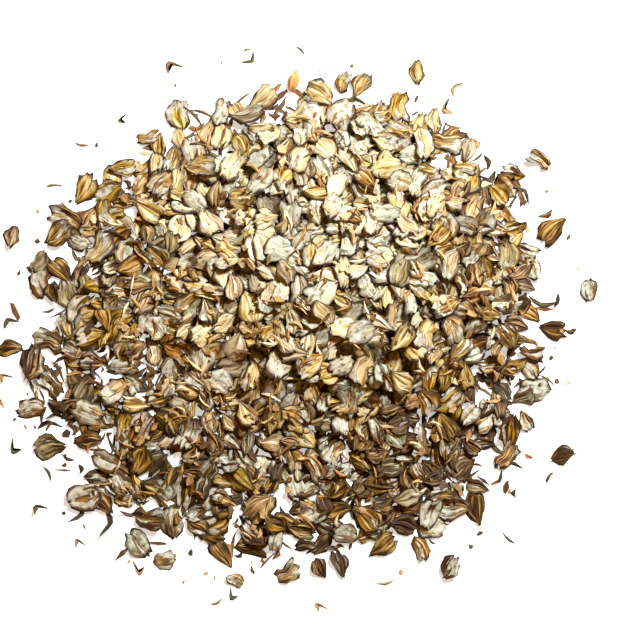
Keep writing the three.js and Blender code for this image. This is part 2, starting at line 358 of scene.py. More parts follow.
nextDraw = chances(heap["seed"]).__next__
strays, wholeKernel, straySlivers = layAround(nextDraw)
flakes = layFlakes(nextDraw)
dustDraw = chances(heapDust["seed"]).__next__
lowFlakes = coverInside(dustDraw)
flakes += lowFlakes
litter = layLitter(dustDraw, "scraps")
hooks = layLitter(dustDraw, "hooks")
shards = layDust(dustDraw, "shards") + litter[1::3] + litter[2::3]
crumbs = layDust(dustDraw, "chips") + layDust(dustDraw, "crumbs") + litter[::3]
print(f"laid {len(flakes)} flakes, {len(lowFlakes)} of them low down, up to {heights.max():.1f} mm high")

# The frame's origin is under the middle of the whole spread.
# The kernel's box says where the heap's own middle is.
kernelLow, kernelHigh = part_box("stray_kernel")
heapMiddle = (
    (kernelLow.x + kernelHigh.x) / 2 - kernel["x"] * mm,
    (kernelLow.y + kernelHigh.y) / 2 - kernel["y"] * mm,
)
near = 0.02 * mm  # a point this near to a row is one of its own
footShare = 0.01  # and one below this share of the thickness is on the underside


def startMesh(addPrimitive, **settings):  # a primitive, alone and open in edit mode
    if bpy.context.object and bpy.context.object.mode != "OBJECT":
        bpy.ops.object.mode_set(mode="OBJECT")
    bpy.ops.object.select_all(action="DESELECT")
    addPrimitive(**settings)
    bpy.ops.object.mode_set(mode="EDIT")
    return bpy.context.object


def selectPoints(piece, wanted):  # the points whose place passes the test
    bpy.ops.mesh.select_mode(type="VERT")
    bpy.ops.mesh.select_all(action="DESELECT")
    points = bmesh.from_edit_mesh(piece.data)
    for point in points.verts:
        point.select = bool(wanted(point.co))
    points.select_flush(True)
    bmesh.update_edit_mesh(piece.data)


def move(x=0.0, y=0.0, z=0.0):
    bpy.ops.transform.translate(value=(x, y, z))


def stretch(x=1.0, y=1.0, z=1.0, about=(0, 0, 0)):
    bpy.ops.transform.resize(value=(x, y, z), center_override=about)


def closeBelow(wall, splay):  # walls down from the open edge of a sheet, and an underside
    bpy.ops.mesh.select_all(action="SELECT")
    move(z=wall)
    bpy.ops.mesh.select_all(action="DESELECT")
    bpy.ops.mesh.select_mode(type="EDGE")
    bpy.ops.mesh.select_non_manifold(extend=False)
    bpy.ops.mesh.extrude_edges_move(TRANSFORM_OT_translate={"value": (0, 0, -wall)})
    stretch(splay, splay, 0)
    bpy.ops.mesh.edge_face_add()
    bpy.ops.mesh.poke()  # to a middle point, so that it can be a dish
    bpy.ops.mesh.select_all(action="SELECT")
    bpy.ops.mesh.normals_make_consistent(inside=False)
    bpy.ops.object.mode_set(mode="OBJECT")


def takeModel(piece, length, breadth, outline, sway=(0, 0)):
    # its points as shares of its size, its faces, where the pattern lies on it, and which points are below
    mesh = piece.data
    points = np.zeros(len(mesh.vertices) * 3)
    mesh.vertices.foreach_get("co", points)
    points = points.reshape(-1, 3) / mm
    points[:, 2] -= points[:, 2].min()
    points /= (length, breadth, points[:, 2].max())
    u = np.clip(points[:, 0] + 0.5, 0, 1)
    half = np.interp(u, np.linspace(0, 1, len(outline)), outline) / 2
    aside = np.interp(u, np.linspace(0, 1, len(sway)), sway) / breadth
    v = np.clip((points[:, 1] - aside) / half, -1, 1) / 2 + 0.5
    faces = [tuple(face.vertices) for face in mesh.polygons]
    bpy.data.objects.remove(piece)
    below = points[:, 2] < footShare
    return {"points": points, "faces": faces, "map": np.column_stack([u, v]), "below": below}


tableGap = {"underside": 0.02, "top": 0.25}  # nothing goes lower, and a top stays clear of its own underside


def laidPoints(oval, model, warp, draws):  # a copy, as long, broad and thick as the oval, and warped
    points = model["points"]
    out = 4 * (points[:, :2] ** 2).sum(axis=1)  # 0 in the middle, 1 at the rim
    twist, bend, fold = draws.normal(0, (warp["bend"], warp["bend"], warp["fold"]))
    jitter = np.where(out > 0.5, draws.normal(1, warp["edge"], len(points)), 1)  # towards the rim
    place = points * (oval["length"], oval["breadth"], oval["thickness"])
    place[:, :2] *= jitter[:, None]
    place[:, 2] += oval["cup"] * np.minimum(out, 1.1)  # no higher past the rim
    # the points run from -0.5 to 0.5, so each of these is whole at the corners, ends and sides
    place[:, 2] += 4 * (twist * points[:, 0] * points[:, 1] + bend * points[:, 0] ** 2)
    place[:, 2] += 2 * fold * np.abs(points[:, 1])
    cos, sin = math.cos(oval["heading"]), math.sin(oval["heading"])
    turn = np.array([[cos, -sin, 0], [sin, cos, 0], [0, 0, 1]])
    facing = np.array([-oval["slopeX"], -oval["slopeY"], 1.0])
    nx, ny, nz = facing / np.linalg.norm(facing)
    tip = np.array([
        [1 - nx * nx / (1 + nz), -nx * ny / (1 + nz), nx],
        [-nx * ny / (1 + nz), 1 - ny * ny / (1 + nz), ny],
        [-nx, -ny, nz],
    ])
    laid = place @ (tip @ turn).T + (oval["x"], oval["y"], oval["z"])
    lowest = np.where(model["below"], tableGap["underside"], tableGap["top"])
    laid[:, 2] = np.maximum(laid[:, 2], lowest)
    return laid


bakeLayout = {  # in a copy's own cell: the middle, and how far its breadth and its length reach
    "top": ((0.33, 0.5), (0.5, 0.76)),
    "underside": ((0.82, 0.5), (0.26, 0.8)),
    "wallFoot": 1.06,  # the foot of the walls lies just outside the top
}


def bakeCell(model, number, columns):
    corners = []
    for face in model["faces"]:
        underside = model["below"][list(face)].all()
        middle, size = bakeLayout["underside" if underside else "top"]
        for i in face:
            x, y = model["points"][i][:2]
            reach = bakeLayout["wallFoot"] if model["below"][i] and not underside else 1.0
            corners.append((middle[0] + size[0] * reach * y, middle[1] + size[1] * reach * x))
    return (np.array(corners) + (number % columns, number // columns)) / columns


# Painted light: copies are painted paler towards this spot and darker away from it, as the light falls.
paintedBrightSpot = {
    "x": -2.0, "y": 16.0, "reach": 70.0,  # the middle of the painted light, where copies are painted palest
    "perMmBack": 0.005,  # and a little more towards the back
    "least": -0.55,
    "ownTone": (0.1, 0.8),  # a flake's own: the least, and what chance adds
}


def paintedDaylight(oval):  # painted light: 1 in its middle, 0 at its reach, and less beyond
    away = math.hypot(oval["x"] - paintedBrightSpot["x"], oval["y"] - paintedBrightSpot["y"])
    return max(paintedBrightSpot["least"], 1 - away / paintedBrightSpot["reach"] + paintedBrightSpot["perMmBack"] * oval["y"])


def joinCopies(name, models, ovals, warp, draws):  # each oval becomes a copy of a model, all in one mesh
    columns = math.ceil(math.sqrt(len(ovals)))
    leastTone, chance = paintedBrightSpot["ownTone"]
    points, faces, patternMap, bakeMap, tones, seeds, below = [], [], [], [], [], [], []
    start = 0
    for number, oval in enumerate(ovals):
        model = models[draws.integers(len(models))]
        count = len(model["points"])
        points.append(laidPoints(oval, model, warp, draws))
        faces += [[start + i for i in face] for face in model["faces"]]
        patternMap.append(model["map"][[i for face in model["faces"] for i in face]])
        bakeMap.append(bakeCell(model, number, columns))
        tone = oval.get("tone", 1.0) * draws.random() * chance + leastTone
        # a copy's tone is its own, plus painted light for where it lies
        tones.append(np.full(count, tone + warp["paintedDaylight"] * paintedDaylight(oval)))
        seeds.append(np.full(count, draws.random()))
        below.append(model["below"].astype(float))
        start += count
    mesh = bpy.data.meshes.new(name)
    mesh.from_pydata((np.concatenate(points) * mm + (*heapMiddle, 0)).tolist(), [], faces)
    for layer, values in (("flakeMap", patternMap), ("OFBake", bakeMap)):
        mesh.uv_layers.new(name=layer).data.foreach_set("uv", np.concatenate(values).ravel())
    for attribute, values in (("flakeToneAndLight", tones), ("flakeSeed", seeds), ("flakeBelow", below)):
        mesh.attributes.new(attribute, "FLOAT", "POINT").data.foreach_set("value", np.concatenate(values))
    piece = bpy.data.objects.new(name, mesh)
    bpy.context.scene.collection.objects.link(piece)
    bpy.ops.object.select_all(action="DESELECT")
    bpy.context.view_layer.objects.active = piece
    piece.select_set(True)
    bpy.ops.object.shade_smooth_by_angle(angle=math.radians(warp["crease"]))
    return piece


def finishPiece(piece, material, nodes):
    piece.data.materials.append(material)
    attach(piece, "root")
    if nodes:
        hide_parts(*nodes)
    print(f"{piece.name}: {len(piece.data.polygons)} faces")


def addNode(tree, kind, inputs=None, stops=None, **settings):
    # inputs by name, or by number among those in use; stops are the places and colours of a colour ramp
    node = tree.nodes.new(kind)
    for name, value in settings.items():
        setattr(node, name, value)
    for number, (place, code) in enumerate(stops or []):
        elements = node.color_ramp.elements
        stop = elements[number] if number < 2 else elements.new(place)
        stop.position, stop.color = place, hexColour(code)
    inUse = [socket for socket in node.inputs if socket.enabled]
    for name, value in (inputs or {}).items():
        socket = inUse[name] if isinstance(name, int) else next(s for s in inUse if s.name == name)
        if isinstance(value, bpy.types.Node):
            value = next(s for s in value.outputs if s.enabled)
        if isinstance(value, bpy.types.NodeSocket):
            tree.links.new(value, socket)
        else:
            socket.default_value = value
    return node


def newMaterial(name, roughness, ior):
    material = bpy.data.materials.new(name)
    material.use_nodes = True
    shader = material.node_tree.nodes["Principled BSDF"]
    shader.inputs["Roughness"].default_value = roughness
    shader.inputs["IOR"].default_value = ior
    return material, material.node_tree, shader


def heldPattern(tree, patches, shift):
    # a noise held to each flake: so many patches along it and across it, and another stretch of it for each
    apart = 71.0
    uv = addNode(tree, "ShaderNodeUVMap", uv_map="flakeMap")
    seed = addNode(tree, "ShaderNodeAttribute", attribute_name="flakeSeed")
    split = addNode(tree, "ShaderNodeSeparateXYZ", {"Vector": uv})
    place = addNode(tree, "ShaderNodeCombineXYZ", {
        "X": split.outputs["X"], "Y": split.outputs["Y"], "Z": seed.outputs["Fac"],
    })
    scaled = addNode(tree, "ShaderNodeMapping", {
        "Vector": place, "Scale": (*patches, apart), "Location": (0, 0, shift),
    })
    return addNode(tree, "ShaderNodeTexNoise", {
        "Vector": scaled, "Scale": 1.0, "Detail": 2.0, "Roughness": 0.55,
    })


def modelSheet(model, outline, sway, ribs, fray=()):
    length, breadth = model["length"] * mm, model["breadth"] * mm
    along, across = model["along"], model["across"]
    piece = startMesh(bpy.ops.mesh.primitive_grid_add, x_subdivisions=along, y_subdivisions=across, size=1)
    stretch(length, breadth)
    for column, rise in enumerate(ribs):  # ribs and furrows run lengthwise
        y = breadth * (column / across - 0.5)
        selectPoints(piece, lambda place: abs(place.y - y) < near)
        move(z=rise * mm)
    for column, out in enumerate(fray):
        y = breadth * (column / across - 0.5)
        selectPoints(piece, lambda place: abs(place.y - y) < near and place.x > length / 2 - near)
        move(x=out * mm)
    ragged = near + max(map(abs, fray), default=0) * mm
    for row, (share, aside) in enumerate(zip(outline, sway)):  # drawn in towards the ends, and thinned there
        x = length * (row / along - 0.5)
        slack = ragged if row == along else near
        selectPoints(piece, lambda place: abs(place.x - x) < slack)
        stretch(y=share, z=model["endThickness"] if row in (0, along) else 1)
        move(y=aside * mm)
    closeBelow(model["wall"] * mm, model["splay"])
    return piece


flakeModel = {
    "length": 10.0, "breadth": 7.5, "wall": 0.45,
    "along": 5, "across": 6,  # faces
    "splay": 1.1,  # how much wider its foot is
    "endThickness": 0.5,  # as a share
    "seed": 5,
}
flakeWarp = {  # how far one copy differs from the next
    "bend": 0.5, "fold": 0.9,  # in mm
    "edge": 0.09,  # how uneven the rim is, as a share
    "paintedDaylight": 0.85,  # how much paler the painted light makes a copy where it is strongest
    "crease": 34,  # past this many degrees an edge stays sharp
}
flakeKinds = {
    # Each shape, from the tip to the frayed round end: its breadths as shares, and how far it leans aside.
    # Then from side to side: how high each rib stands above the rim, and how far the end stands out. In mm.
    # husk and starch: the colours from furrow to crest. The husk's follow its veins, which the bump raises
    # too, so its dark stops are partly painted shade in the furrows.
    # bare: how much of the husk is gone at the tip and at the end.
    # lean: how much commoner a kind is where the painted light is strongest, so the mix of kinds is partly
    # painted light.
    "hullFlakes": {
        "share": 0.34, "lean": -0.01,
        "material": "rolledHuskSatin",
        "shapes": [
            ((0.14, 0.56, 0.86, 1, 0.96, 0.5), (0, 0.3, 0.4, 0.2, -0.2, -0.6),
             (0, 0.5, 0.2, 0.8, 0.2, 0.5, 0), (-0.3, 0.1, -0.1, 0.3, 0, 0.1, -0.3)),
            ((0.1, 0.46, 0.78, 0.96, 1, 0.72), (0.4, 0, -0.2, -0.1, 0.2, 0.5),
             (0, 0.65, 0.3, 0.65, 0.1, 0.5, 0), (-0.5, 0.3, -0.4, 0.2, -0.5, 0.3, -0.6)),
            ((0.16, 0.7, 1, 0.86, 0.6, 0.34), (-0.5, -0.3, 0.2, 0.6, 0.5, 0.1),
             (0, 0.2, 0.7, 0.9, 0.5, 0.1, 0), (0.4, -0.2, 0.3, -0.3, 0.2, -0.4, 0.1)),
        ],
        "husk": [(0.45, "351a00"), (0.53, "724e0a"), (0.6, "aa8339"), (0.67, "cbaf77"), (0.78, "e3d6b6")],
        "starch": [(0.38, "827757"), (0.53, "b6ad92"), (0.7, "d0c9b4")],
        "bare": (0.16, 0.45),
    },
    "splitFlakes": {
        "share": 0.42, "lean": 0.03,
        "material": "huskSplitOverStarch",
        "shapes": [
            ((0.12, 0.5, 0.8, 0.98, 1, 0.78), (0.3, 0.4, 0.1, -0.3, -0.2, 0.3),
             (0, 0.5, 0.1, 0.7, 0.1, 0.55, 0), (-0.6, 0.4, -0.5, 0.6, -0.4, 0.5, -0.7)),
            ((0.2, 0.7, 1, 1, 0.92, 0.6), (0, -0.4, -0.3, 0.1, 0.4, 0.4),
             (0, 0.6, 0.05, 0.5, 0.65, 0.1, 0), (-0.9, 0.2, 0.5, -0.6, 0.4, 0.1, -0.5)),
            ((0.16, 0.8, 0.95, 0.9, 1, 0.8), (-0.6, -0.2, 0.3, 0.3, -0.1, -0.6),
             (0, 0.15, 0.7, 0.15, 0.65, 0.4, 0), (-0.2, 0.5, -0.7, 0.3, 0.5, -0.4, -0.9)),
            ((0.5, 0.86, 0.66, 0.8, 1, 0.9), (0.5, 0.1, -0.5, -0.4, 0, 0.3),
             (0, 0.7, 0.2, 0, 0.4, 0.8, 0), (-1.1, -0.3, 0.6, 0.1, -0.8, 0.4, 0.2)),
        ],
        "husk": [(0.45, "351900"), (0.53, "734a07"), (0.6, "ae8232"), (0.67, "cfaf71"), (0.78, "e2d4ae")],
        "starch": [(0.38, "887e63"), (0.53, "bdb6a3"), (0.7, "d4cebf")],
        "bare": (0.32, 0.58),
    },
    "starchFlakes": {
        "share": 0.15, "lean": 0.01,
        "material": "rolledStarchMatt",
        "shapes": [
            ((0.45, 0.85, 1, 1, 0.85, 0.5), (0, 0.2, 0.3, 0, -0.3, -0.4),
             (0, 0.55, 0.7, 0.15, 0.7, 0.55, 0), (-0.3, 0.1, 0.3, -0.1, 0.3, 0, -0.4)),
            ((0.5, 0.95, 0.95, 1, 0.9, 0.4), (0.4, 0, -0.3, -0.2, 0.2, 0.6),
             (0, 0.6, 0.75, 0.6, 0.3, 0.6, 0), (-0.4, 0.2, 0.1, 0.3, -0.3, 0.1, -0.2)),
            ((0.7, 1, 0.82, 0.9, 0.96, 0.66), (-0.5, 0, 0.4, 0.5, 0, -0.5),
             (0, 0.7, 0.3, 0.5, 0.1, 0.6, 0), (0.2, -0.7, 0.1, 0.4, -0.2, 0.5, -0.8)),
        ],
        "husk": [(0.45, "633b05"), (0.54, "a3762b"), (0.63, "cfb178"), (0.76, "e4d7b8")],
        "starch": [(0.36, "7e7354"), (0.45, "b1aa92"), (0.58, "c6c0ae"), (0.74, "d5d0c0")],
        "bare": (0.48, 0.7),
    },
    "greyHulls": {
        "share": 0.09, "lean": -0.02,
        "material": "weatheredHuskMatt",
        "shapes": [
            ((0.12, 0.5, 0.8, 0.98, 0.9, 0.5), (0.3, 0, -0.3, 0, 0.3, 0.4),
             (0, 0.35, 0.1, 0.55, 0.1, 0.35, 0), (-0.3, 0.2, -0.2, 0.4, -0.2, 0.1, -0.3)),
            ((0.25, 0.75, 0.9, 0.8, 0.85, 0.5), (-0.4, 0, 0.5, 0.4, -0.2, -0.5),
             (0, 0.45, 0.6, 0.15, 0.4, 0.3, 0), (-0.5, 0.3, 0.3, -0.5, 0.1, 0.4, -0.5)),
        ],
        "husk": [(0.45, "39250e"), (0.53, "6b5230"), (0.6, "927c55"), (0.67, "b2a37f"), (0.78, "ccc2a6")],
        "starch": [(0.38, "878068"), (0.53, "b1ab99"), (0.7, "d3cec0")],
        "bare": (0.22, 0.48),
    },
}


def modelFlake(outline, sway, ribs, fray):
    piece = modelSheet(flakeModel, outline, sway, ribs, fray)
    return takeModel(piece, flakeModel["length"], flakeModel["breadth"], outline, sway)


flakeFinish = {
    "roughness": 0.65, "ior": 1.3,
    "veins": (1.1, 9.0),  # patches along and across a flake: these are about 0.8 mm apart
    "strips": (0.8, 4.0),  # about 2 mm broad
    "mottle": (5.0, 4.0),  # about 2 mm
    "patches": (1.6, 2.2),  # about 6 by 3 mm
    "patchShare": 0.35,
    "huskTone": 0.19, "starchTone": 0.03,  # how much paler with the tone, which is each flake's own plus painted light
    "starchHue": (0.475, 0.555),  # 0.5 leaves it, less is redder and more is greener
    "softness": 0.012,  # of the line where a strip ends
    "torn": {"reach": 0.03, "strength": 0.8, "colour": "4b2b07"},
    # the rim is partly painted shade, a dark line round each flake
    "rim": {"waver": 0.25, "from": 0.52, "to": 0.63, "strength": (0.9, 0.6), "colour": "523408"},
    # the edge is partly painted shade, a dark outline at each flake's foot
    "edge": {"from": 0.5, "strength": 0.92, "colour": "261200"},
    # the value follows the tone, so it is partly painted light; hue and saturation vary at random from flake
    # to flake
    "value": (0.89, 0.94), "hue": (0.493, 0.517), "saturation": (1.1, 0.75),
    "huskRaised": 0.3, "relief": 0.5, "reliefStrength": 0.9,
}


def flakeMaterial(kind):
    # Barley husk is a satin straw skin with lengthwise veins. The rollers split it into strips that still
    # meet at the tip, and between them shows the floury, matt inside of the grain.
    # Flour dust leaves little gloss on either.
    finish = flakeFinish
    material, tree, shader = newMaterial(kind["material"], finish["roughness"], finish["ior"])
    uv = addNode(tree, "ShaderNodeUVMap", uv_map="flakeMap")
    split = addNode(tree, "ShaderNodeSeparateXYZ", {"Vector": uv})
    # the tone attribute holds each flake's own tone plus painted light
    tone, seed, below = [addNode(tree, "ShaderNodeAttribute", attribute_name=name).outputs["Fac"]
                         for name in ("flakeToneAndLight", "flakeSeed", "flakeBelow")]
    veins, strips, mottle, patches = [
        heldPattern(tree, finish[name], shift).outputs["Fac"]
        for name, shift in (("veins", 0), ("strips", 9), ("mottle", 20), ("patches", 40))
    ]
    worn = addNode(tree, "ShaderNodeMix", {"Factor": finish["patchShare"], "A": veins, "B": patches})
    # husk and starch grow paler with the tone, and so with the painted light
    lit = addNode(tree, "ShaderNodeMath", {0: tone, 1: finish["huskTone"], 2: worn}, operation="MULTIPLY_ADD")
    husk = addNode(tree, "ShaderNodeValToRGB", {"Fac": lit}, stops=kind["husk"])
    pale = addNode(tree, "ShaderNodeMath", {0: tone, 1: finish["starchTone"], 2: mottle},
                   operation="MULTIPLY_ADD")
    starch = addNode(tree, "ShaderNodeValToRGB", {"Fac": pale}, stops=kind["starch"])
    luck = addNode(tree, "ShaderNodeTexWhiteNoise", {"W": seed}, noise_dimensions="1D")
    least, most = finish["starchHue"]
    cast = addNode(tree, "ShaderNodeMapRange", {"Value": luck, "To Min": least, "To Max": most})
    starch = addNode(tree, "ShaderNodeHueSaturation", {"Color": starch, "Hue": cast})

    bareTip, bareEnd = kind["bare"]
    threshold = addNode(tree, "ShaderNodeMapRange", {
        "Value": split.outputs["X"], "To Min": bareTip, "To Max": bareEnd,
    })
    margin = addNode(tree, "ShaderNodeMath", {0: strips, 1: threshold}, operation="SUBTRACT")
    covered = addNode(tree, "ShaderNodeMapRange", {
        "Value": margin, "From Min": -finish["softness"], "From Max": finish["softness"],
    }, interpolation_type="SMOOTHSTEP")
    face = addNode(tree, "ShaderNodeMix", {"Factor": covered, "A": starch, "B": husk}, data_type="RGBA")

    # a strip's torn edge is a thin brown line
    distance = addNode(tree, "ShaderNodeMath", {0: margin}, operation="ABSOLUTE")
    torn = addNode(tree, "ShaderNodeMapRange", {
        "Value": distance, "From Max": finish["torn"]["reach"],
        "To Min": finish["torn"]["strength"], "To Max": 0.0,
    })

    # all round, the last millimetre or so is browner: partly the husk's brown rim and partly painted shade, a
    # dark outline round each flake. It is strongest where the tone is low, on darker flakes and in painted
    # shade.
    fromMiddle = []
    for axis in ("X", "Y"):
        place = addNode(tree, "ShaderNodeMath", {0: split.outputs[axis], 1: 0.5}, operation="SUBTRACT")
        fromMiddle.append(addNode(tree, "ShaderNodeMath", {0: place}, operation="ABSOLUTE"))
    out = addNode(tree, "ShaderNodeMath", {0: fromMiddle[0], 1: fromMiddle[1]}, operation="MAXIMUM")
    out = addNode(tree, "ShaderNodeMath", {0: strips, 1: finish["rim"]["waver"], 2: out},
                  operation="MULTIPLY_ADD")
    dark, light = finish["rim"]["strength"]
    strongest = addNode(tree, "ShaderNodeMapRange", {"Value": tone, "To Min": dark, "To Max": light},
                        clamp=False)
    rim = addNode(tree, "ShaderNodeMapRange", {
        "Value": out, "From Min": finish["rim"]["from"], "From Max": finish["rim"]["to"], "To Max": strongest,
    })

    # and the edge below it is dark: partly the broken husk edge, partly painted shade that outlines each
    # flake where it meets what lies under it
    edge = addNode(tree, "ShaderNodeMapRange", {
        "Value": below, "From Max": finish["edge"]["from"], "To Max": finish["edge"]["strength"],
    })
    for name, amount in (("torn", torn), ("rim", rim), ("edge", edge)):
        shade = hexColour(finish[name]["colour"])
        face = addNode(tree, "ShaderNodeMix", {"Factor": amount, "A": face, "B": shade}, data_type="RGBA")

    # the tone sets the value: partly each flake's own lightness, partly painted light
    ranges = {}
    for name, source in (("value", tone), ("hue", seed), ("saturation", luck)):
        low, high = finish[name]
        ranges[name.capitalize()] = addNode(tree, "ShaderNodeMapRange", {
            "Value": source, "To Min": low, "To Max": high,
        }, clamp=name != "value")
    colour = addNode(tree, "ShaderNodeHueSaturation", {"Color": face, **ranges})
    tree.links.new(colour.outputs["Color"], shader.inputs["Base Color"])

    raised = addNode(tree, "ShaderNodeMath", {0: covered, 1: finish["huskRaised"]}, operation="MULTIPLY")
    relief = addNode(tree, "ShaderNodeMath", {0: veins, 1: raised}, operation="ADD")
    bump = addNode(tree, "ShaderNodeBump", {
        "Height": relief, "Distance": finish["relief"] * mm, "Strength": finish["reliefStrength"],
    })
    tree.links.new(bump.outputs["Normal"], shader.inputs["Normal"])
    return material


def kindOf(oval, draws):  # painted light: more floury, paler faces where the light is painted strongest
    shares = np.array([kind["share"] + kind["lean"] * paintedDaylight(oval) for kind in flakeKinds.values()])
    return list(flakeKinds)[draws.choice(len(shares), p=shares / shares.sum())]


def makeFlakes():
    draws = np.random.default_rng(flakeModel["seed"])
    ovals = {name: [] for name in flakeKinds}
    nodes = {name: ["flake_heap"] for name in flakeKinds}
    for flake in flakes:
        ovals[kindOf(flake, draws)].append(flake)
    for number, stray in enumerate(strays, 1):
        name = ("splitFlakes", "hullFlakes", "starchFlakes")[number % 3]
        ovals[name].append(stray)
        nodes[name].append(f"stray_flake_{number}")
    for name, kind in flakeKinds.items():
        models = [modelFlake(*shape) for shape in kind["shapes"]]
        piece = joinCopies(name, models, ovals[name], flakeWarp, draws)
        finishPiece(piece, flakeMaterial(kind), nodes[name])


makeFlakes()


sliverModel = {
    "length": 6.0, "breadth": 1.1, "wall": 0.2,
    "along": 4, "across": 2,
    "splay": 1.0, "endThickness": 0.6, "ridge": 0.4,
    "shapes": [  # breadths as shares, and mm to the side, along it
        ((0.1, 0.7, 1.0, 0.8, 0.15), (0.5, 0.1, -0.2, 0.0, 0.5)),
        ((0.3, 0.9, 0.8, 0.5, 0.08), (-0.3, 0.0, 0.1, 0.0, -0.5)),
    ],
    "hooks": [
        ((0.5, 0.8, 1.0, 0.9, 0.4), (2.2, 0.4, -0.3, 0.2, 1.6)),
        ((0.6, 1.0, 0.9, 0.7, 0.5), (-1.2, 0.6, 0.9, -0.2, -2.6)),
    ],
    # paler with the painted light, a little, as the flakes are
    "warp": {"bend": 0.5, "fold": 0.2, "edge": 0.1, "paintedDaylight": 0.1, "crease": 30},
    "colours": [(0.29, "2a1806"), (0.39, "664216"), (0.5, "a5793a"), (0.61, "ceb17c"), (0.73, "e4d9bc")],
    "weathered": [(0.25, "2b2515"), (0.38, "55492f"), (0.5, "7d6236"), (0.65, "a98a55")],
    "seed": 6,
}
crumbModel = {
    "across": 2.0, "wall": 0.35, "splay": 1.1,
    "shapes": [(5, 0.5), (6, 0.2), (4, 0.7)],  # corners, and how far one side is turned up, in mm
    "turnedUp": (0.2, 0.3),  # that is, all beyond this x and this side of this y
    "drawn": (1.25, 0.8),  # how much longer and narrower it is there
    # paler with the painted light, a little, as the flakes are
    "warp": {"bend": 0.0, "fold": 0.0, "edge": 0.16, "paintedDaylight": 0.12, "crease": 20},
    "colours": [(0.25, "2f1804"), (0.4, "644013"), (0.55, "a88146"), (0.75, "dccb9f")],
}


def modelSliver(outline, curve):
    piece = modelSheet(sliverModel, outline, curve, (0, sliverModel["ridge"], 0))
    return takeModel(piece, sliverModel["length"], sliverModel["breadth"], (1.0, 1.0))


def modelCrumb(corners, raised):  # a torn scrap of a flake
    radius = crumbModel["across"] / 2 * mm
    piece = startMesh(bpy.ops.mesh.primitive_circle_add, vertices=corners, radius=radius, fill_type="NGON")
    x, y = [place * mm for place in crumbModel["turnedUp"]]
    selectPoints(piece, lambda place: place.x > x and place.y < y)
    stretch(*crumbModel["drawn"])
    move(z=raised * mm)
    closeBelow(crumbModel["wall"] * mm, crumbModel["splay"])
    return takeModel(piece, crumbModel["across"], crumbModel["across"], (1.0, 1.0))


smallFinish = {"roughness": 0.72, "ior": 1.48, "veins": (2.0, 4.0), "relief": 0.3, "reliefStrength": 0.8}


def smallHuskMaterial(name, stops):
    # The same dry husk, torn small: dull, and greyer the longer it has rubbed about.
    material, tree, shader = newMaterial(name, smallFinish["roughness"], smallFinish["ior"])
    # the tone is each piece's own, plus a little painted light for where it lies
    tone = addNode(tree, "ShaderNodeAttribute", attribute_name="flakeToneAndLight")
    veins = heldPattern(tree, smallFinish["veins"], 0).outputs["Fac"]
    both = addNode(tree, "ShaderNodeMath", {0: tone.outputs["Fac"], 1: veins}, operation="ADD")
    mean = addNode(tree, "ShaderNodeMath", {0: both, 1: 0.5}, operation="MULTIPLY")
    colour = addNode(tree, "ShaderNodeValToRGB", {"Fac": mean}, stops=stops)
    tree.links.new(colour.outputs["Color"], shader.inputs["Base Color"])
    bump = addNode(tree, "ShaderNodeBump", {
        "Height": veins, "Distance": smallFinish["relief"] * mm, "Strength": smallFinish["reliefStrength"],
    })
    tree.links.new(bump.outputs["Normal"], shader.inputs["Normal"])
    return material


def makeDust():
    draws = np.random.default_rng(sliverModel["seed"])
    models = [modelSliver(*shape) for shape in sliverModel["shapes"]]
    piece = joinCopies("huskShards", models, shards, sliverModel["warp"], draws)
    finishPiece(piece, smallHuskMaterial("tornHuskDull", sliverModel["colours"]), [])
    hooked = [modelSliver(*shape) for shape in sliverModel["hooks"]]
    piece = joinCopies("huskSlivers", models + hooked, straySlivers + hooks, sliverModel["warp"], draws)
    nodes = [f"husk_sliver_{number}" for number in range(1, sliverRing["count"] + 1)]
    weathered = smallHuskMaterial("weatheredHuskDull", sliverModel["weathered"])
    finishPiece(piece, weathered, nodes)
    models = [modelCrumb(*shape) for shape in crumbModel["shapes"]]
    piece = joinCopies("huskCrumbs", models, crumbs, crumbModel["warp"], draws)
    finishPiece(piece, smallHuskMaterial("crumbledFlakeMatt", crumbModel["colours"]), [])


makeDust()


kernelModel = {
    "segments": 20, "rings": 14,
    "crease": 0.55, "creaseHalf": 0.5,  # how deep, and half how broad
    "tip": 0.55, "tipLonger": 1.12, "tipNarrower": 0.65,  # from this share of its half length on
    "ribs": 0.14, "ribsReach": 0.6, "ribsNarrow": 0.995,  # how high, how far along, and how near to the line
    "foot": -0.8,  # it lies on all that is lower, as a share of its half thickness
    "seed": 7,
    "warp": {"bend": 0.0, "fold": 0.0, "edge": 0.0, "paintedDaylight": 0.0, "crease": 50},
    "colours": [(0.32, "40230a"), (0.45, "754a1c"), (0.55, "9c6c30"), (0.7, "c69855")],
}


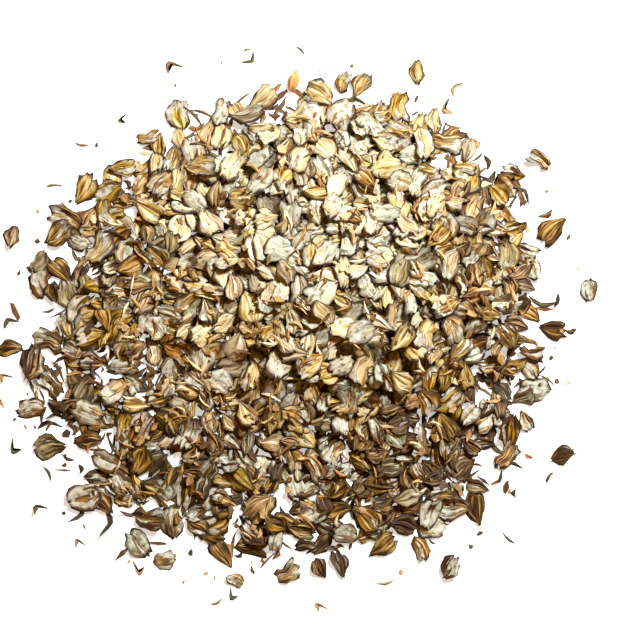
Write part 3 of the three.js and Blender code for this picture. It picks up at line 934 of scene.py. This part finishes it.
def modelKernel():
    half = [kernel[side] / 2 * mm for side in ("length", "breadth", "thickness")]
    segments, rings = kernelModel["segments"], kernelModel["rings"]
    piece = startMesh(bpy.ops.mesh.primitive_uv_sphere_add, segments=segments, ring_count=rings)
    bpy.ops.transform.rotate(value=math.pi / 2, orient_axis="Y", center_override=(0, 0, 0))
    stretch(*half)
    selectPoints(piece, lambda place: place.z > 0 and abs(place.y) < kernelModel["creaseHalf"] * mm)
    move(z=-kernelModel["crease"] * mm)
    tip, narrower = kernelModel["tip"] * half[0], kernelModel["tipNarrower"]
    selectPoints(piece, lambda place: place.x > tip)  # drawn out to the awn's end
    stretch(kernelModel["tipLonger"], narrower, narrower, about=(tip, 0, 0))
    for number in range(0, segments, 2):  # every other line along it stands up as a rib
        angle = 2 * math.pi * number / segments
        towards = (math.sin(angle), math.cos(angle))
        selectPoints(piece, lambda place: abs(place.x) < kernelModel["ribsReach"] * half[0] and (
            place.y / half[1] * towards[0] + place.z / half[2] * towards[1]
            > kernelModel["ribsNarrow"] * math.hypot(place.y / half[1], place.z / half[2])))
        move(y=towards[0] * kernelModel["ribs"] * mm, z=towards[1] * kernelModel["ribs"] * mm)
    foot = kernelModel["foot"] * half[2]
    selectPoints(piece, lambda place: place.z < foot)
    stretch(z=0, about=(0, 0, foot))
    bpy.ops.mesh.select_all(action="SELECT")
    bpy.ops.mesh.normals_make_consistent(inside=False)
    bpy.ops.object.mode_set(mode="OBJECT")
    rounding = piece.modifiers.new("rounding", "SUBSURF")
    rounding.levels = rounding.render_levels = 1
    bpy.ops.object.modifier_apply(modifier=rounding.name)
    return takeModel(piece, kernel["length"], kernel["breadth"], (1.0, 1.0))


def makeKernel():
    draws = np.random.default_rng(kernelModel["seed"])
    piece = joinCopies("wholeKernel", [modelKernel()], [wholeKernel], kernelModel["warp"], draws)
    piece.data.uv_layers.remove(piece.data.uv_layers["OFBake"])  # that is for flat things, and this is round
    material = smallHuskMaterial("unrolledHuskSatin", kernelModel["colours"])
    finishPiece(piece, material, ["stray_kernel"])


makeKernel()


core = {
    "rings": 20, "turns": 64,
    "under": 1.0,  # this far below the lowest flakes
    "lumpSize": 6.0, "lumps": 1.2,
    "foot": 0.05, "footBelow": 0.3,  # where its foot is, and what is flattened to it
    "roughness": 0.85, "ior": 1.45, "grain": 3.0, "relief": 0.8,
    # painted shade: the dark browns of flakes in shadow deep in the heap
    "colours": [(0.35, "221002"), (0.5, "42260a"), (0.65, "68451a")],
}


def makeCore():
    bare = math.sqrt((heap["bedCover"] + core["under"] - heap["thinDepth"]) / heap["crestDepth"])
    reach = heap["crestReach"] * math.sqrt(1 - bare)  # from the crest to where the inside runs out
    middle = [heap["crest"][0] * mm + heapMiddle[0], heap["crest"][1] * mm + heapMiddle[1], 0]

    def height(out):
        swell = 1 - (out / heap["crestReach"]) ** 2
        return heap["thinDepth"] + heap["crestDepth"] * swell * swell - heap["bedCover"] - core["under"]

    top = (middle[0], middle[1], height(0) * mm)
    piece = startMesh(bpy.ops.mesh.primitive_plane_add, size=2 * mm, location=top)
    bpy.ops.object.mode_set(mode="OBJECT")
    bpy.ops.object.transform_apply()
    bpy.ops.object.mode_set(mode="EDIT")
    bpy.ops.mesh.merge(type="CENTER")
    outs = [reach * ring / core["rings"] for ring in range(core["rings"] + 1)]
    for inner, outer in zip(outs, outs[1:]):  # half its section, drawn from the crest down
        step = ((outer - inner) * mm, 0, (height(outer) - height(inner)) * mm)
        bpy.ops.mesh.extrude_vertices_move(TRANSFORM_OT_translate={"value": step})
    bpy.ops.mesh.select_all(action="SELECT")
    bpy.ops.mesh.spin(steps=core["turns"], angle=2 * math.pi, center=middle, axis=(0, 0, 1))
    bpy.ops.mesh.select_all(action="SELECT")
    bpy.ops.mesh.remove_doubles(threshold=0.01 * mm)
    bpy.ops.mesh.normals_make_consistent(inside=False)
    bpy.ops.object.mode_set(mode="OBJECT")
    clouds = bpy.data.textures.new("coreLumps", "CLOUDS")
    clouds.noise_scale = core["lumpSize"] * mm
    lumps = piece.modifiers.new("lumps", "DISPLACE")
    lumps.texture, lumps.direction, lumps.texture_coords = clouds, "Z", "LOCAL"
    lumps.strength, lumps.mid_level = core["lumps"] * mm, 1.0  # only ever lower
    bpy.ops.object.modifier_apply(modifier=lumps.name)
    bpy.ops.object.mode_set(mode="EDIT")
    selectPoints(piece, lambda place: place.z < core["footBelow"] * mm)
    stretch(z=0, about=(0, 0, core["foot"] * mm))  # just clear of the table
    bpy.ops.mesh.select_all(action="DESELECT")
    bpy.ops.mesh.select_mode(type="EDGE")
    bpy.ops.mesh.select_non_manifold(extend=False)
    bpy.ops.mesh.edge_face_add()
    bpy.ops.mesh.select_all(action="SELECT")
    bpy.ops.mesh.normals_make_consistent(inside=False)
    bpy.ops.object.mode_set(mode="OBJECT")
    piece.name = piece.data.name = "heapInside"
    # Flakes and dust lie packed in the dark there: its dark browns are painted shade, the colour of flakes
    # deep in shadow.
    material, tree, shader = newMaterial("packedHuskPaintedShade", core["roughness"], core["ior"])
    place = addNode(tree, "ShaderNodeTexCoord").outputs["Object"]
    grain = addNode(tree, "ShaderNodeTexNoise", {"Vector": place, "Scale": 1 / (core["grain"] * mm)})
    colour = addNode(tree, "ShaderNodeValToRGB", {"Fac": grain}, stops=core["colours"])
    tree.links.new(colour.outputs["Color"], shader.inputs["Base Color"])
    bump = addNode(tree, "ShaderNodeBump", {"Height": grain, "Distance": core["relief"] * mm})
    tree.links.new(bump.outputs["Normal"], shader.inputs["Normal"])
    finishPiece(piece, material, ["flake_heap"])


makeCore()


view = {
    "middle": (8.0, 2.0),  # of the picture, from the heap's middle
    "across": 256.0,  # what the picture takes in on the table
    "distance": 1100.0,
}
table = {"across": 4000.0, "colour": "fbfaf8", "glow": 0.56, "roughness": 0.7, "ior": 1.49}
lamp = {"from": (0.2, 0.3, 0.38), "size": 0.11, "power": 4.4, "colour": "f8fafc"}  # in metres
window = {"strength": 2.14, "softness": 5, "colour": "f5f9ff"}  # from the lamp's side, even all over
room = {"colour": "ffaf24", "strength": 0.26}  # warm light from all round, down in the gaps


def makeTable():
    piece = startMesh(bpy.ops.mesh.primitive_plane_add, size=table["across"] * mm)
    bpy.ops.object.mode_set(mode="OBJECT")
    piece.name = "table"
    # White acrylic lit from below, as under product photographs: what lies on it casts hardly a shadow.
    material, tree, shader = newMaterial("opalAcrylicLit", table["roughness"], table["ior"])
    shader.inputs["Base Color"].default_value = hexColour(table["colour"])
    shader.inputs["Emission Color"].default_value = hexColour(table["colour"])
    shader.inputs["Emission Strength"].default_value = table["glow"]
    piece.data.materials.append(material)


def makeLight():
    bpy.ops.object.light_add(type="AREA", location=lamp["from"])
    light = bpy.context.object
    light.data.shape, light.data.size = "DISK", lamp["size"]
    light.data.energy, light.data.color = lamp["power"], hexColour(lamp["colour"])[:3]
    light.rotation_euler = light.location.to_track_quat("Z", "Y").to_euler()
    bpy.ops.object.light_add(type="SUN", location=lamp["from"], rotation=light.rotation_euler)
    sun = bpy.context.object.data
    sun.energy, sun.angle = window["strength"], math.radians(window["softness"])
    sun.color = hexColour(window["colour"])[:3]
    world = bpy.data.worlds.new("room")
    world.use_nodes = True
    background = world.node_tree.nodes["Background"]
    background.inputs["Color"].default_value = hexColour(room["colour"])
    background.inputs["Strength"].default_value = room["strength"]
    bpy.context.scene.world = world
    bpy.context.scene.view_settings.view_transform = "Standard"


def makeCamera():
    x, y = [heapMiddle[i] + view["middle"][i] * mm for i in (0, 1)]
    bpy.ops.object.camera_add(location=(x, y, view["distance"] * mm), rotation=(0, 0, 0))
    camera = bpy.context.object
    camera.data.lens = camera.data.sensor_width * view["distance"] / view["across"]
    bpy.context.scene.camera = camera


makeTable()
makeLight()
makeCamera()
print("table, light and camera placed")
